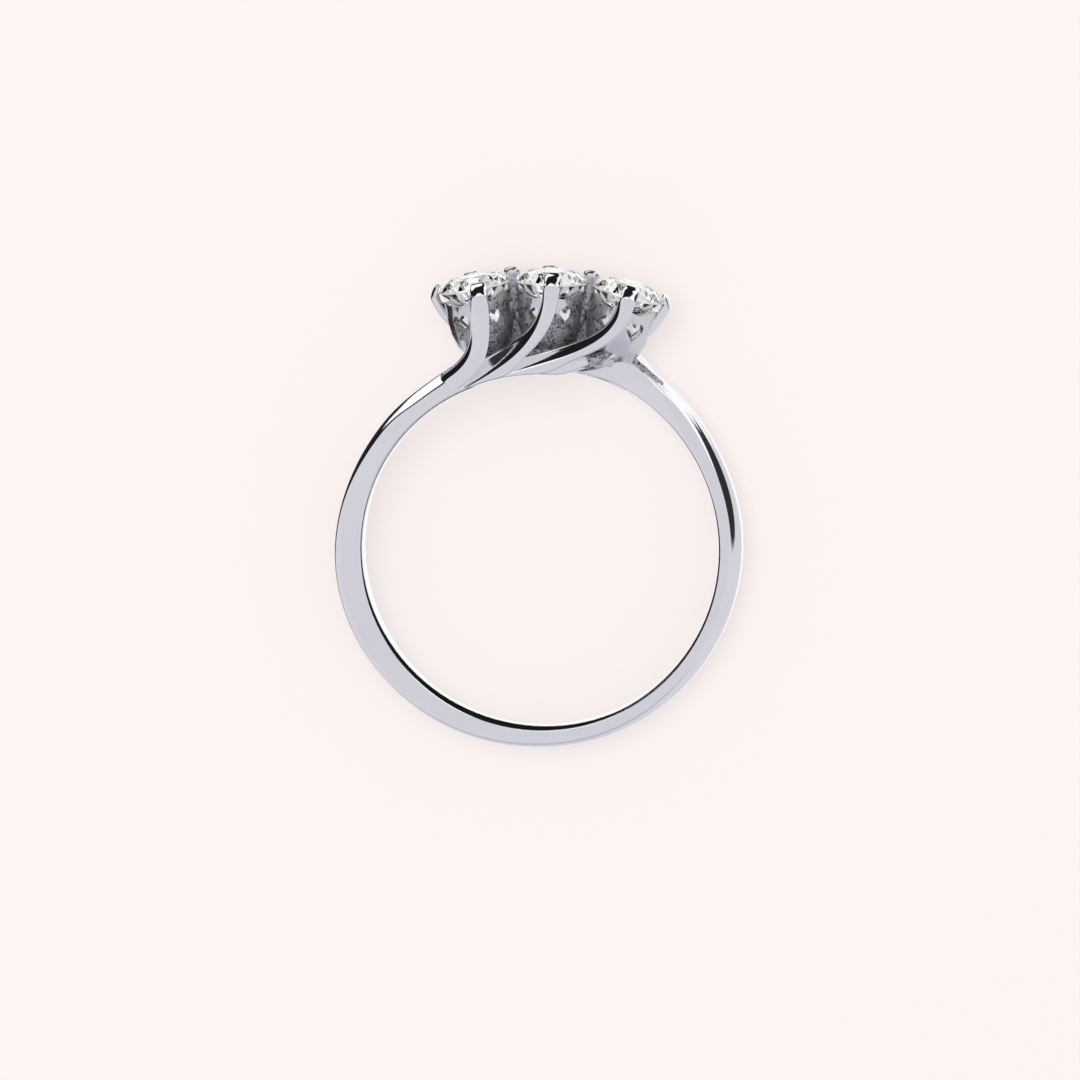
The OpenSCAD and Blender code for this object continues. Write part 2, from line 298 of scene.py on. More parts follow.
# A middle claw's knob from the girdle up: height and width, as shares of a tip's.
KNOB = (
    (0.00, 0.60), (0.22, 0.64), (0.42, 0.80), (0.60, 1.00),
    (0.76, 1.04), (0.90, 0.90), (1.00, 0.66), (1.06, 0.34),
)

# The wall between a middle claw's legs from its foot up: left and right edge, and height.
WEB = ((0.75, 2.1, 9.6), (1.0, 2.0, 10.6), (1.35, 1.95, 11.6), (1.6, 1.85, 12.2))

# Waves that add up to a heart's height, each with its number of turns round the heart.
HEART = ((13, 1), (-5, 2), (-2, 3), (-1, 4))


def deselect() -> None:
    """Leave edit mode and select nothing."""
    if bpy.context.object and bpy.context.object.mode != "OBJECT":
        bpy.ops.object.mode_set(mode="OBJECT")
    bpy.ops.object.select_all(action="DESELECT")


def activate(obj: bpy.types.Object) -> None:
    """Make obj the only selected and the active object."""
    deselect()
    obj.select_set(True)
    bpy.context.view_layer.objects.active = obj


def modify(obj: bpy.types.Object, kind: str, **values: object) -> None:
    """Add one modifier to obj, set its values and apply it.

    Args:
        obj: The object to finish.
        kind: The modifier's type.
        values: The modifier's properties.
    """
    activate(obj)
    modifier = obj.modifiers.new(kind.lower(), kind)
    for key, value in values.items():
        setattr(modifier, key, value)
    bpy.ops.object.modifier_apply(modifier=modifier.name)


def soften(obj: bpy.types.Object, limit: float) -> None:
    """Round the edges of obj that turn by more than limit, in radians."""
    modify(obj, "BEVEL", width=0.03, segments=2, limit_method="ANGLE", angle_limit=limit)


class Skin:
    """A closed body drawn out of one flat cap, ring after ring, in edit mode."""

    def __init__(self, name: str, first: Ring) -> None:
        """Start with a filled circle and move its corners to the first ring.

        Args:
            name: The name of the new object.
            first: The places of the first ring's corners.
        """
        deselect()
        bpy.ops.mesh.primitive_circle_add(
            vertices=len(first), radius=1, fill_type="NGON", location=(0, 0, 0)
        )
        self.obj = bpy.context.object
        self.obj.name = self.obj.data.name = name
        bpy.ops.object.mode_set(mode="EDIT")
        bpy.ops.mesh.select_mode(type="VERT")
        mesh = bmesh.from_edit_mesh(self.obj.data)
        self.now: Ring = [tuple(v.co) for v in mesh.verts]
        self.move_to(first)

    def move_to(self, ring: Ring) -> None:
        """Move each selected corner of the open cap to its place in the next ring.

        Args:
            ring: The next ring, corner for corner with the one the cap has now.
        """
        mesh = bmesh.from_edit_mesh(self.obj.data)
        chosen = [v for v in mesh.verts if v.select]
        order = [
            min(chosen, key=lambda v, p=p: (v.co - Vector(p)).length_squared).index
            for p in self.now
        ]
        for index, start, end in zip(order, self.now, ring):
            self.choose([index])
            bpy.ops.transform.translate(value=Vector(end) - Vector(start))
        self.choose(order)
        self.now = list(ring)

    def choose(self, indices: list[int]) -> None:
        """Select only the corners with the given indices.

        Args:
            indices: The corners' indices in the mesh.
        """
        mesh = bmesh.from_edit_mesh(self.obj.data)
        mesh.verts.ensure_lookup_table()
        bpy.ops.mesh.select_all(action="DESELECT")
        for index in indices:
            mesh.verts[index].select = True
        mesh.select_flush(True)

    def draw(self, rings: list[Ring]) -> bpy.types.Object:
        """Extrude the cap through the given rings and close the body.

        Args:
            rings: The rings after the first one.

        Returns:
            The finished object, in object mode.
        """
        for ring in rings:
            bpy.ops.mesh.select_mode(type="FACE")
            bpy.ops.mesh.extrude_region_move()
            bpy.ops.mesh.select_mode(type="VERT")
            self.move_to(ring)
        bpy.ops.mesh.select_all(action="SELECT")
        bpy.ops.mesh.normals_make_consistent(inside=False)
        bpy.ops.object.mode_set(mode="OBJECT")
        return self.obj


def smooth_body(name: str, rings: list[Ring]) -> bpy.types.Object:
    """Draw a body through rings and subdivide it until it is smooth.

    Args:
        name: The name of the new object.
        rings: All its rings, from one end to the other.

    Returns:
        The finished object.
    """
    body = Skin(name, rings[0]).draw(rings[1:])
    modify(body, "SUBSURF", levels=2, render_levels=2)
    return body


@dataclass
class Metalwork:
    """Sections and runs of the claws and the band, and the bodies made of them.

    edge is the rounding of the long edges. The steep part of a flank takes between the two
    shares in steep_share of its width, at a slope of flank_slope, and the ledge beyond it
    falls by ledge_slope. fullness is the power that fills a round section's corners.
    """

    sizes: RingSizes
    edge: float = 0.05
    stem_steps: int = 12
    steep_share: Point = (0.58, 0.8)
    flank_slope: float = 0.8
    ledge_slope: float = 0.26
    fullness: float = 0.84
    overshoot: float = 1.03
    root_share: float = 0.93
    bevel_inset: float = 0.36
    leg_foot_x: float = 2.02
    leg_neck: Place = (0.02, 0.0, -0.35)
    leg_depth: float = 0.42
    mid_depth: float = 0.46
    mid_bow: float = 0.42
    knob_rise: float = 1.15
    web_half: float = 0.1

    def claw_section(
        self, half_x: float, half_y: float, flank: float, inner: float = 0.0
    ) -> list[Point]:
        """Return a claw's section as places across and along the finger, front first.

        Args:
            half_x: Half the width of the flat face.
            half_y: Half the depth.
            flank: How far the flank stands out beyond the face, first steep and then flat.
            inner: How far the face reaches on its inner side, at least half_x.

        Returns:
            Fourteen corners, from the inner side over the face and the flank to the back.
        """
        e, c = min(self.edge, 0.3 * half_x), 0.34 * min(half_x, half_y)
        inner = max(inner, half_x)
        steep = mix(*self.steep_share, ease((flank / half_x - 1.2) / 1.2)) * flank
        ledge = flank - steep
        drop = min(self.flank_slope * steep, 1.2 * half_y - e)
        front = e - half_y
        return [
            (-inner, 0.0),
            (-inner, -half_y + 2.6 * e),
            (-inner, -half_y + e),
            (-inner + e, -half_y),
            (half_x - e, -half_y),
            (half_x + 0.10 * steep, front + 0.10 * drop),
            (half_x + 0.92 * steep, front + 0.92 * drop),
            (half_x + steep + 0.10 * ledge, front + drop),
            (half_x + flank, front + drop + self.ledge_slope * ledge),
            (half_x + 0.7 * flank - 0.6 * c, max(0.94 * half_y, front + drop + 0.4 * ledge)),
            (-half_x * 0.2, half_y),
            (-inner + c, half_y),
            (-inner, half_y - c),
            (-inner, 0.4 * half_y),
        ]

    def round_section(self, half_x: float, half_y: float) -> list[Point]:
        """Return a full ellipse, corner for corner with a claw's section.

        Args:
            half_x: Half the width.
            half_y: Half the depth.

        Returns:
            Fourteen corners, the first on the inner side.
        """

        def full(value: float) -> float:
            """Return a sine or cosine moved outwards, which fills the ellipse's corners."""
            return self.overshoot * math.copysign(abs(value) ** self.fullness, value)

        around = [math.pi * (1 + i / 7) for i in range(14)]
        return [(half_x * full(math.cos(a)), half_y * full(math.sin(a))) for a in around]

    def tip_section(self, half_x: float, half_y: float, height: float) -> list[Point]:
        """Return a section that turns from a stem's to a round one as the tip rises.

        Args:
            half_x: Half the width.
            half_y: Half the depth.
            height: The height above the girdle, as a share of the tip's.

        Returns:
            Fourteen corners.
        """
        flat = self.claw_section(half_x, half_y, 0.03)
        share = ease((height - TIP[0][0]) / TIP_TURN)
        mixed = []
        for (x, y), (u, v) in zip(flat, self.round_section(half_x, half_y)):
            mixed.append((mix(x, u, share), mix(y, v, share)))
        return mixed

    def off_finger(self, ring: Ring) -> Ring:
        """Push the corners of a ring out of the finger hole, with a rounded edge in front.

        Args:
            ring: The ring's corners.

        Returns:
            The corners, none of them in the finger hole.
        """
        s = self.sizes
        front = min(y for _, y, _ in ring)
        moved = []
        for x, y, z in ring:
            share = min(max(1 - (y - front) / s.hole_bevel_w, 0.0), 1.0)
            least = s.finger_r + SUNK + s.hole_bevel * share**2
            k = max(least / math.hypot(x, z), 1.0)
            moved.append((x * k, y, z * k))
        return moved

    def lay(self, at: Place, across: Place, section: list[Point]) -> Ring:
        """Lay a section at a place.

        Args:
            at: The place of the section's middle.
            across: The unit vector along which the section's width runs.
            section: The section's corners, across and along the finger.

        Returns:
            The corners' places.
        """
        return [
            (at[0] + across[0] * x, at[1] + y, at[2] + across[2] * x) for x, y in section
        ]

    def run(self, claw: Claw) -> list[Place]:
        """Return the four control places of a claw's run.

        Args:
            claw: The claw.

        Returns:
            The places, from the claw's root to the girdle.
        """
        s = self.sizes
        a = math.radians(claw.angle)
        r = s.finger_r + claw.lift * s.shoulder_t
        root = (r * math.sin(a), 0.0, r * math.cos(a))
        head = s.stone_r + s.end_claw_t / 2 if claw.is_end else s.tip_shift + claw.shift
        tip = s.by_stone((head, 0, s.tip_start - claw.drop), claw.spoke)
        lean = claw.spoke * s.side_lean
        lean = math.radians(lean + (s.side_lean if claw.is_end else -lean * 2 / 3))
        out, up = claw.reach * s.girdle_rise, claw.tip_reach * s.girdle_rise
        return [
            root,
            (root[0] + out * math.cos(a), 0.0, root[2] - out * math.sin(a)),
            (tip[0] - up * math.sin(lean), 0.0, tip[2] - up * math.cos(lean)),
            tip,
        ]

    def on_run(self, claw: Claw, t: float) -> tuple[Place, Place]:
        """Return a place on a claw's run and the direction across it.

        Args:
            claw: The claw.
            t: The share of the run, from root to girdle.

        Returns:
            The place, and the unit vector that points away from the face's inner edge.
        """
        p = [Vector(q) for q in self.run(claw)]
        u = 1 - t
        at = p[0] * u**3 + p[1] * 3 * t * u**2 + p[2] * 3 * t**2 * u + p[3] * t**3
        d = (p[1] - p[0]) * u**2 + (p[2] - p[1]) * 2 * t * u + (p[3] - p[2]) * t**2
        d.normalize()
        return tuple(at), (-d.z, 0.0, d.x)

    def stem_ring(self, claw: Claw, t: float) -> Ring:
        """Return one ring of a claw's stem, which starts sunk in the shoulder.

        Args:
            claw: The claw.
            t: The share of the run, from root to girdle.

        Returns:
            The ring's corners.
        """
        s = self.sizes
        at, across = self.on_run(claw, t)
        root_y = (s.shoulder_out + s.shoulder_in) / 2
        tip_y = 0.0 if claw.is_end else s.claw_reach
        middle = -mix(root_y, tip_y, ease(t))
        root_share = mix(self.root_share, 1, ease(4 * t))
        root_half = (s.shoulder_out - s.shoulder_in) / 2 * root_share
        tip_half = (s.tip_w if claw.is_end else s.tip_depth) / 2
        half_y = mix(root_half, tip_half, ease(1.3 * t))
        half_x = mix(*claw.face, ease(t)) * s.tip_w / 2
        flank = mix(*claw.flank, ease(t)) * s.tip_w
        inner = 0.0
        if claw.hugs:
            gap = math.hypot(at[0], at[2]) - s.finger_r
            inner = mix(gap, half_x, ease((gap - HUG[0]) / (HUG[1] - HUG[0])))
        section = self.claw_section(half_x, half_y, flank, inner)
        return self.off_finger(self.lay((at[0], middle, at[2]), across, section))

    def tip_rings(self, claw: Claw) -> list[Ring]:
        """Return the rings of a claw's tip, which rounds over towards its stone.

        Args:
            claw: The claw.

        Returns:
            The rings, from the girdle up.
        """
        s, rings = self.sizes, []
        across = turn((-1, 0, 0), claw.spoke * s.side_lean)
        depth = s.end_claw_t if claw.is_end else s.tip_depth
        for height, shift, deep, wide in TIP:
            inward = shift * depth
            if claw.is_end:
                x, y = s.stone_r + depth / 2 - inward, 0.0
                half_x, half_y = deep * depth / 2, wide * s.tip_w / 2
            else:
                x, y = s.tip_shift + claw.shift, -(s.claw_reach - inward)
                half_x, half_y = wide * s.tip_w / 2, deep * depth / 2
            at = s.by_stone((x, y, height * s.tip_rise - claw.drop), claw.spoke)
            rings.append(self.lay(at, across, self.tip_section(half_x, half_y, height)))
        return rings

    def claw(self, claw: Claw) -> bpy.types.Object:
        """Build one claw, from its root inside the shoulder to its tip.

        Args:
            claw: The claw.

        Returns:
            The claw's body.
        """
        rings = [self.stem_ring(claw, i / self.stem_steps) for i in range(self.stem_steps)]
        return smooth_body(f"claw_{claw.name}", rings + self.tip_rings(claw))

    def band_ring(self, angle: float, side: Side) -> Ring:
        """Return one ring of the band.

        Args:
            angle: The angle from the top of the ring, in degrees.
            side: The half it is on.

        Returns:
            The ring's corners, corner for corner with a claw's.
        """
        s, left = self.sizes, side is Side.LEFT
        top_t = mix(s.base_t, s.shoulder_t, along(BAND, angle, LEFT_T if left else RIGHT_T))
        outer_side, inner_side = (top_t * along(BAND, angle, k) for k in (OUTER_SIDE, INNER_SIDE))
        outer = mix(s.base_w / 2, s.shoulder_out, along(BAND, angle, OUTER_LEAN))
        inner = mix(-s.base_w / 2, s.shoulder_in, along(BAND, angle, INNER_LEAN))
        front, back = (-outer, -inner) if left else (inner, outer)
        sides = (outer_side, inner_side) if left else (inner_side, outer_side)
        half, middle, b = (back - front) / 2, (back + front) / 2, s.hole_bevel
        e = min(self.edge, 0.3 * half)
        bevel = back_bevel = mix(0.88, 0.72, ease((angle - 36) / 16))
        inset = self.bevel_inset
        if left:
            # The left shoulder slants all the way from its face to its ridge.
            slant = ease((angle - 22) / 6) * ease((50 - angle) / 8)
            bevel = back_bevel = mix(bevel, 0.5, slant)
            inset = mix(inset, 0.56, slant)
            sides = (mix(sides[0], 0.62 * top_t, slant), sides[1])
        corners = [
            (0.0, middle),
            (0.25 * b, front + 0.42 * half),
            (b - 0.3 * e, front + 0.6 * e),
            (b + e, front),
            (sides[0] - e, front),
            (sides[0] + 0.6 * e, front + 1.2 * e),
            (mix(sides[0], top_t, bevel), front + inset * half),
            (top_t, middle),
            (mix(sides[1], top_t, back_bevel), back - self.bevel_inset * half),
            (sides[1] + 0.6 * e, back - 1.2 * e),
            (sides[1] - e, back),
            (b + e, back),
            (b - 0.3 * e, back - 0.6 * e),
            (0.25 * b, back - 0.42 * half),
        ]
        a = math.radians(angle * side.value)
        return [
            ((s.finger_r + r) * math.sin(a), y, (s.finger_r + r) * math.cos(a))
            for r, y in corners
        ]

    def shank(self) -> bpy.types.Object:
        """Build the band, whose two ends lie under the roots of the claws."""
        rings = [self.band_ring(a, Side.LEFT) for a in BAND_STOPS]
        rings += [self.band_ring(a, Side.RIGHT) for a in (180, *reversed(BAND_STOPS))]
        return smooth_body("shank", rings)

    def leg(self) -> bpy.types.Object:
        """Build the leg that a middle claw sends down beside the right cup.

        Returns:
            The leg's body.
        """
        s, rings = self.sizes, []
        neck = Vector(s.by_stone(self.leg_neck, 0.5))
        foot = Vector((self.leg_foot_x, 0, s.girdle_z - 0.98 * s.cup_h))
        for t in (0, 0.3, 0.6, 1):
            half_x = s.mid_claw_w / 2 * mix(0.9, 0.7, t)
            section = self.round_section(half_x, self.leg_depth * s.tip_w)
            rings.append(self.lay(tuple(foot.lerp(neck, t)), (-1, 0, 0), section))
        return smooth_body("leg", rings)

    def web(self) -> bpy.types.Object:
        """Build the thin cast wall between a middle claw's two legs.

        Returns:
            The wall's body.
        """
        rings, h = [], self.web_half
        for left, right, z in WEB:
            rings.append([(left, -h, z), (right, -h, z), (right, h, z), (left, h, z)])
        body = Skin("web", rings[0]).draw(rings[1:])
        soften(body, 0.6)
        return body

    def mid_claw(self) -> bpy.types.Object:
        """Build the claw between the middle stone and the right one.

        Returns:
            The claw's body, with its knob.
        """
        s, rings = self.sizes, []
        across = turn((-1, 0, 0), s.side_lean / 2)
        neck = Vector(s.by_stone((0, 0, -1.92 * s.girdle_t), 0.5))
        foot = Vector((s.cup_foot_r + s.mid_claw_w / 3, 0, s.girdle_z - 0.96 * s.cup_h))
        for t in (0, 0.25, 0.5, 0.75, 1):
            bow = Vector((self.mid_bow * s.mid_claw_w * math.sin(math.pi * t), 0, 0))
            half_x = s.mid_claw_w / 2 * mix(0.8, 1, t)
            section = self.round_section(half_x, self.mid_depth * s.tip_w)
            rings.append(self.lay(tuple(foot.lerp(neck, t) + bow), across, section))
        for height, wide in KNOB:
            at = s.by_stone((0, 0, height * self.knob_rise * s.tip_rise), 0.5)
            half = wide * s.tip_w / 2
            rings.append(self.lay(at, across, self.round_section(half, half)))
        return smooth_body("mid_claw", rings)


@dataclass
class Gallery:
    """A cast rail that bows under the feet of the cups.

    low and high are its heights over the finger hole. It reaches as many degrees to each side
    of the top, and its front runs further left than its back by twice the skew.
    """

    sizes: RingSizes
    low: float = 0.78
    high: float = 1.34
    half_depth: float = 1.25
    reach: int = 15
    step: int = 5
    skew: float = 5.0
    chamfer: float = 0.1
    shoulder: float = 0.86

    def corner(self, angle: float, lift: float, side: float) -> Place:
        """Return one corner of the rail.

        Args:
            angle: The angle from the top, in degrees.
            lift: The height over the finger hole.
            side: The place along the finger, from -1 in front to 1 at the back.

        Returns:
            The corner's place.
        """
        a = math.radians(angle + self.skew * side)
        r = self.sizes.finger_r + lift
        return (r * math.sin(a), side * self.half_depth, r * math.cos(a))

    def build(self) -> bpy.types.Object:
        """Build the rail, upright and in millimetres.

        Returns:
            The rail's body.
        """
        low, high, c, h = self.low, self.high, self.chamfer, self.shoulder
        outline = (
            (low, -h), (low + c, -1), (high - c, -1), (high, -h),
            (high, h), (high - c, 1), (low + c, 1), (low, h),
        )
        rings = [
            [self.corner(angle, lift, side) for lift, side in outline]
            for angle in range(-self.reach, self.reach + 1, self.step)
        ]
        rail = Skin("gallery", rings[0]).draw(rings[1:])
        soften(rail, 0.5)
        return rail


@dataclass
class Cup:
    """A pierced conical cup under a stone.

    fullness gives the wall's shape: rows of a height and a spread, both as shares of the way
    from the foot to the rim. The hearts stand at heart_turn from the row of stones.
    """

    sizes: RingSizes
    sides: int = 72
    foot_r: float = 1.0
    rim_share: float = 0.94
    rim_drop: float = 0.42
    rim_wave: float = 0.28
    scallop_share: float = 0.46
    fullness: tuple[Point, ...] = ((0.0, 0.0), (0.16, 0.5), (0.4, 0.82), (0.7, 0.96), (1.0, 1.0))
    heart_turn: float = 57.0
    heart_drop: float = 1.6
    heart_corners: int = 40
    heart_reach: float = 0.9

    @property
    def rim_r(self) -> float:
        """Radius of the cup's rim."""
        return self.rim_share * self.sizes.stone_r

    @property
    def height(self) -> float:
        """Height of the cup from its foot to its rim."""
        return self.sizes.cup_h - self.rim_drop

    def heart(self) -> bpy.types.Object:
        """Build a heart-shaped cutter with its cleft up, across the X axis.

        Returns:
            The cutter, which cup walls are pierced with.
        """
        s = self.sizes
        near = []
        for i in range(self.heart_corners):
            a = 2 * math.pi * (i + 0.5) / self.heart_corners
            y = sum(size * math.cos(turns * a) for size, turns in HEART)
            across = s.heart_w / 2 * math.sin(a) ** 3
            near.append((-self.heart_reach, across, s.heart_h * (y + 2.5) / 29))
        far = [(self.heart_reach, y, z) for _, y, z in near]
        return Skin("heart_cutter", near).draw([far])

    def scallop(self) -> bpy.types.Object:
        """Build the round cutter that hollows one scallop out of the rim.

        Returns:
            The cutter, across the X axis.
        """
        s, half_w, wave = self.sizes, self.scallop_share * self.sizes.stone_r, self.rim_wave
        radius = (half_w**2 + wave**2) / (2 * wave)
        deselect()
        bpy.ops.mesh.primitive_cylinder_add(
            vertices=64,
            radius=radius,
            depth=2 * s.stone_r,
            location=(s.stone_r, 0, radius - self.rim_drop - wave),
            rotation=(0, math.radians(90), 0),
        )
        return bpy.context.object

    def wall(self) -> bpy.types.Object:
        """Build the cup's closed wall, extruded from its foot to its rim.

        Returns:
            The wall, with its stone's girdle at the origin.
        """
        s = self.sizes
        deselect()
        bpy.ops.mesh.primitive_circle_add(
            vertices=self.sides, radius=self.foot_r, location=(0, 0, -s.cup_h)
        )
        cup = bpy.context.object
        bpy.ops.object.transform_apply(location=True, rotation=True, scale=True)
        bpy.ops.object.mode_set(mode="EDIT")
        bpy.ops.mesh.select_all(action="SELECT")
        last_r, last_z = self.foot_r, -s.cup_h
        for rise, spread in self.fullness[1:]:
            r, z = mix(self.foot_r, self.rim_r, spread), -s.cup_h + rise * self.height
            bpy.ops.mesh.extrude_region_move(
                TRANSFORM_OT_translate={"value": (0, 0, z - last_z)}
            )
            bpy.ops.transform.resize(value=(r / last_r, r / last_r, 1), center_override=(0, 0, z))
            last_r, last_z = r, z
        bpy.ops.mesh.select_all(action="SELECT")
        bpy.ops.mesh.normals_make_consistent(inside=False)
        bpy.ops.object.mode_set(mode="OBJECT")
        modify(cup, "SOLIDIFY", thickness=s.cup_wall, offset=-1, use_even_offset=True)
        return cup

    def build(self) -> bpy.types.Object:
        """Build one cup below its stone's girdle, which lies at the origin.

        Returns:
            The cup, pierced and with softened edges.
        """
        cup = self.wall()
        heart_r, slant = self.wall_at(-self.heart_drop)
        lean = Matrix.Rotation(math.atan(slant), 4, "Y")
        for a in (self.heart_turn, 180 - self.heart_turn, 180 + self.heart_turn, -self.heart_turn):
            self.cut(cup, self.scallop(), a)
            heart = self.heart()
            activate(heart)
            heart.matrix_world = Matrix.Translation((heart_r, 0, -self.heart_drop)) @ lean
            self.cut(cup, heart, a)
        soften(cup, 0.6)
        return cup

    def wall_at(self, z: float) -> Point:
        """Return the wall's radius and its slope.

        Args:
            z: The height from the girdle, which is negative below it.

        Returns:
            The outer radius, and how much it grows with the height.
        """
        rise = (z + self.sizes.cup_h) / self.height
        k = next(i for i in range(1, len(self.fullness)) if rise <= self.fullness[i][0])
        (rise_a, spread_a), (rise_b, spread_b) = self.fullness[k - 1], self.fullness[k]
        spread = mix(spread_a, spread_b, (rise - rise_a) / (rise_b - rise_a))
        growth = (self.rim_r - self.foot_r) / self.height
        slope = (spread_b - spread_a) / (rise_b - rise_a) * growth
        return mix(self.foot_r, self.rim_r, spread), slope

    def cut(self, cup: bpy.types.Object, cutter: bpy.types.Object, angle: float) -> None:
        """Turn a cutter about the cup's axis, cut the cup with it and remove it.

        Args:
            cup: The cup.
            cutter: The cutter, across the X axis.
            angle: The angle of its turn, in degrees.
        """
        about = Matrix.Rotation(math.radians(angle), 4, "Z")
        cutter.matrix_world = about @ cutter.matrix_world
        modify(cup, "BOOLEAN", operation="DIFFERENCE", object=cutter, solver="EXACT")
        bpy.data.objects.remove(cutter, do_unlink=True)


class Shades:
    """Small helpers that build shader nodes."""

    def __init__(self, tree: bpy.types.NodeTree) -> None:
        """Work in the given node tree."""
        self.tree = tree

    def add(self, kind: str, **values: object) -> bpy.types.Node:
        """Add a node.

        Args:
            kind: The node's type.
            values: Its properties and its unlinked sockets, by name.

        Returns:
            The new node.
        """
        node = self.tree.nodes.new(kind)
        for key, value in values.items():
            if hasattr(node, key):
                setattr(node, key, value)
            else:
                node.inputs[key.replace("_", " ")].default_value = value
        return node

    def feed(self, into: bpy.types.NodeSocket, value: Value) -> None:
        """Give an input its value.

        Args:
            into: The input.
            value: An output to link, a number, a vector or a colour of three parts.
        """
        if isinstance(value, bpy.types.NodeSocket):
            self.tree.links.new(value, into)
        elif into.type == "RGBA":
            into.default_value = (*value, 1)
        else:
            into.default_value = value

    def ramp(self, value: Value, start: Point, end: Point = (0, 1)) -> bpy.types.NodeSocket:
        """Return a value moved evenly from one range to another.

        Args:
            value: The value.
            start: The range it comes from, at which it is held.
            end: The range it goes to.

        Returns:
            The output with the result.
        """
        node = self.add("ShaderNodeMapRange")
        names = ("From Min", "From Max", "To Min", "To Max")
        for name, number in zip(names, (*start, *end)):
            node.inputs[name].default_value = number
        self.feed(node.inputs["Value"], value)
        return node.outputs[0]

    def step(self, value: Value, low: float, high: float) -> bpy.types.NodeSocket:
        """Return a smooth step of a value, from 0 at low to 1 at high.

        Args:
            value: The value.
            low: Where the step begins.
            high: Where it ends.

        Returns:
            The output with the result.
        """
        result = self.ramp(value, (low, high))
        result.node.interpolation_type = "SMOOTHSTEP"
        return result

    def maths(self, kind: str, a: Value, b: Value) -> bpy.types.NodeSocket:
        """Return the result of one maths node.

        Args:
            kind: The sum to do.
            a: The first number or output.
            b: The second one.

        Returns:
            The output with the result.
        """
        node = self.add("ShaderNodeMath", operation=kind)
        self.feed(node.inputs[0], a)
        self.feed(node.inputs[1], b)
        return node.outputs[0]

    def vector(self, kind: str, a: Value, b: Value) -> bpy.types.NodeSocket:
        """Return the result of one vector maths node.

        Args:
            kind: The sum to do.
            a: The first vector.
            b: The second vector, or the factor of a SCALE.

        Returns:
            The output with the result.
        """
        node = self.add("ShaderNodeVectorMath", operation=kind)
        self.feed(node.inputs[0], a)
        self.feed(node.inputs["Scale" if kind == "SCALE" else 1], b)
        return node.outputs["Value" if kind in ("DOT_PRODUCT", "DISTANCE") else "Vector"]

    def blend(self, a: Value, b: Value, share: bpy.types.NodeSocket) -> bpy.types.NodeSocket:
        """Return a colour between two.

        Args:
            a: The colour at share 0.
            b: The colour at share 1.
            share: The output with the share.

        Returns:
            The output with the colour.
        """
        node = self.add("ShaderNodeMix", data_type="RGBA")
        self.feed(node.inputs["A"], a)
        self.feed(node.inputs["B"], b)
        self.feed(node.inputs["Factor"], share)
        return node.outputs["Result"]

    def noise(
        self, vector: Value, scale: float, detail: float, roughness: float = 0.5
    ) -> bpy.types.NodeSocket:
        """Return a noise.

        Args:
            vector: The place in the noise.
            scale: Its scale.
            detail: How many finer layers it has.
            roughness: How strong they are.

        Returns:
            The output with the noise's value.
        """
        node = self.add("ShaderNodeTexNoise", Scale=scale, Detail=detail, Roughness=roughness)
        self.feed(node.inputs["Vector"], vector)
        return node.outputs["Fac"]

    def place(self) -> bpy.types.NodeSocket:
        """Return the place on the object."""
        return self.add("ShaderNodeTexCoord").outputs["Object"]

    def to_line(self, start: Vector, end: Vector) -> bpy.types.NodeSocket:
        """Return the distance from a straight line.

        Args:
            start: One end of the line, in metres.
            end: Its other end.

        Returns:
            The output with the distance in metres.
        """
        way = end - start
        offset = self.vector("SUBTRACT", self.place(), start)
        share = self.vector("DOT_PRODUCT", offset, way / way.length_squared)
        held = self.ramp(share, (0, 1))
        return self.vector("DISTANCE", offset, self.vector("SCALE", way, held))


def socket(group: bpy.types.NodeTree, name: str, way: str, kind: str = "Float") -> None:
    """Give a node group one named socket.

    Args:
        group: The group.
        name: The socket's name.
        way: INPUT or OUTPUT.
        kind: What it carries, Float or Vector.
    """
    group.interface.new_socket(name=name, in_out=way, socket_type=f"NodeSocket{kind}")


def new_material(name: str) -> tuple[bpy.types.Material, Shades]:
    """Make an empty node material.

    Args:
        name: The material's name.

    Returns:
        The material and the helper that fills it.
    """
    made = bpy.data.materials.new(name)
    made.use_nodes = True
    made.node_tree.nodes.clear()
    return made, Shades(made.node_tree)


def polish_group() -> bpy.types.NodeTree:
    """Build the group of fine polishing marks and slow tone changes on metal.

    Returns:
        A group with a Mask of marks, a slow Tone and a Normal.
    """
    group = bpy.data.node_groups.new("polish_marks", "ShaderNodeTree")
    socket(group, "Scale", "INPUT")
    socket(group, "Depth", "INPUT")
    socket(group, "Marks", "OUTPUT")
    socket(group, "Tone", "OUTPUT")
    socket(group, "Normal", "OUTPUT", "Vector")
    s = Shades(group)
    into, out = s.add("NodeGroupInput"), s.add("NodeGroupOutput")
    place = s.vector("SCALE", s.place(), into.outputs["Scale"])
    stretch = s.add("ShaderNodeMapping", Scale=(9000, 9000, 700))
    s.feed(stretch.inputs["Vector"], place)
    marks = s.ramp(s.noise(stretch.outputs[0], 1.0, 3.0, 0.6), (0.35, 0.75))
    bump = s.add("ShaderNodeBump", Distance=0.00001)
    s.feed(bump.inputs["Strength"], into.outputs["Depth"])
    s.feed(bump.inputs["Height"], marks)
    s.feed(out.inputs["Marks"], marks)
    s.feed(out.inputs["Tone"], s.noise(place, 420.0, 2.0))
    s.feed(out.inputs["Normal"], bump.outputs[0])
    return group


